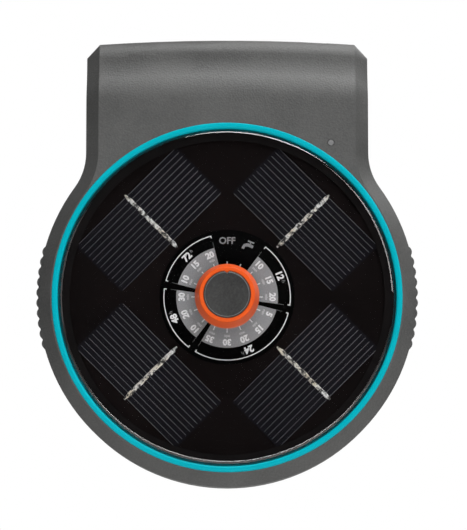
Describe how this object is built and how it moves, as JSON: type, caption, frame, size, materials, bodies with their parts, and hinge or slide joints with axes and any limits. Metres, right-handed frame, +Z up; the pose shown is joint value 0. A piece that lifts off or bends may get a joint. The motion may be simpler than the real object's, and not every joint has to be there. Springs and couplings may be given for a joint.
{
  "type": "drip irrigation timer",
  "caption": "Solar powered drip irrigation timer with a round dial face, a selector knob, a built-in pump, hose barbs and a rear hook for a container rim.",
  "frame": {"origin": "middle of the hook slot's roof, where the timer hangs on a rim", "axes": "+Z up, the dial faces -Y, +X to the right seen from the front"},
  "size_m": [0.1616, 0.0824, 0.1913],
  "materials": {
    "case_plastic": "fine moulded grain, dark warm grey",
    "seal_rubber": "matte black",
    "screw_steel": "turned steel",
    "teal_plastic": "satin teal",
    "window_clear": "clear gloss",
    "black_board": "black solder mask",
    "dial_ink": "black with printed dial",
    "silicon": "dark monocrystalline silicon",
    "solder": "tinned ribbon",
    "switch_plastic": "black",
    "green_board": "green solder mask",
    "light_lens": "diffuse light lens",
    "orange_plastic": "satin orange",
    "grey_plastic": "fine grain, dark grey",
    "white_plastic": "natural acetal",
    "battery_sleeve": "plain sleeve",
    "contact_metal": "nickel plated",
    "pump_plastic": "black glass-filled",
    "motor_steel": "zinc plated",
    "clear_tube": "silicone"
  },
  "bodies": {
    "case": {"front_housing": "case_plastic", "rear_housing": "case_plastic", "case_seal": "seal_rubber", "case_screws": "screw_steel", "trim_ring": "teal_plastic", "solar_window": "window_clear", "cell_board": "black_board", "dial_print": "dial_ink", "solar_cell_upper_right": "silicon", "solar_cell_upper_left": "silicon", "solar_cell_lower_left": "silicon", "solar_cell_lower_right": "silicon", "cell_ribbons": "solder", "rotary_switch": "switch_plastic", "circuit_board": "green_board", "board_components": "switch_plastic", "board_screws": "screw_steel", "status_light": "light_lens", "light_board": "green_board", "rim_hook": "case_plastic", "hook_screws": "screw_steel", "hook_pads": "seal_rubber", "battery_cell_1": "battery_sleeve", "battery_cell_2": "battery_sleeve", "battery_cell_3": "battery_sleeve", "battery_contacts": "contact_metal", "battery_cover_seal": "seal_rubber", "pump_head": "pump_plastic", "pump_end_cover": "pump_plastic", "idler_pin": "screw_steel", "motor_case": "motor_steel", "suction_barb": "pump_plastic", "delivery_barb": "pump_plastic", "suction_tube": "clear_tube", "delivery_tube": "clear_tube"},
    "selector": {"knob_body": "orange_plastic", "knob_cap": "grey_plastic", "knob_shaft": "white_plastic", "shaft_o_ring": "seal_rubber", "shaft_clip": "screw_steel", "switch_rotor": "white_plastic"},
    "pump_drive": {"drive_gear": "white_plastic", "motor_shaft": "screw_steel", "motor_rotor": "motor_steel"},
    "pump_idler": {"idler_gear": "white_plastic"},
    "cover": {"battery_cover": "case_plastic", "battery_cover_screws": "screw_steel"}
  },
  "joints": [
    {"name": "selector_turn", "type": "hinge", "parent": "case", "child": "selector", "pos_m": [0, -0.0595, -0.1041], "axis": [0, 1, 0], "continuous": true},
    {"name": "pump_spin", "type": "hinge", "parent": "case", "child": "pump_drive", "pos_m": [-0.044, -0.027, -0.1001], "axis": [0, 0, 1], "continuous": true},
    {"name": "idler_spin", "type": "hinge", "parent": "case", "child": "pump_idler", "pos_m": [-0.044, -0.018, -0.1001], "axis": [0, 0, 1], "continuous": true},
    {"name": "cover_lift", "type": "slide", "parent": "case", "child": "cover", "axis": [0, 1, 0], "range_m": [0, 0.03]}
  ],
  "couplings": [
    {"joint": "idler_spin", "follows": "pump_spin", "ratio": -1}
  ]
}
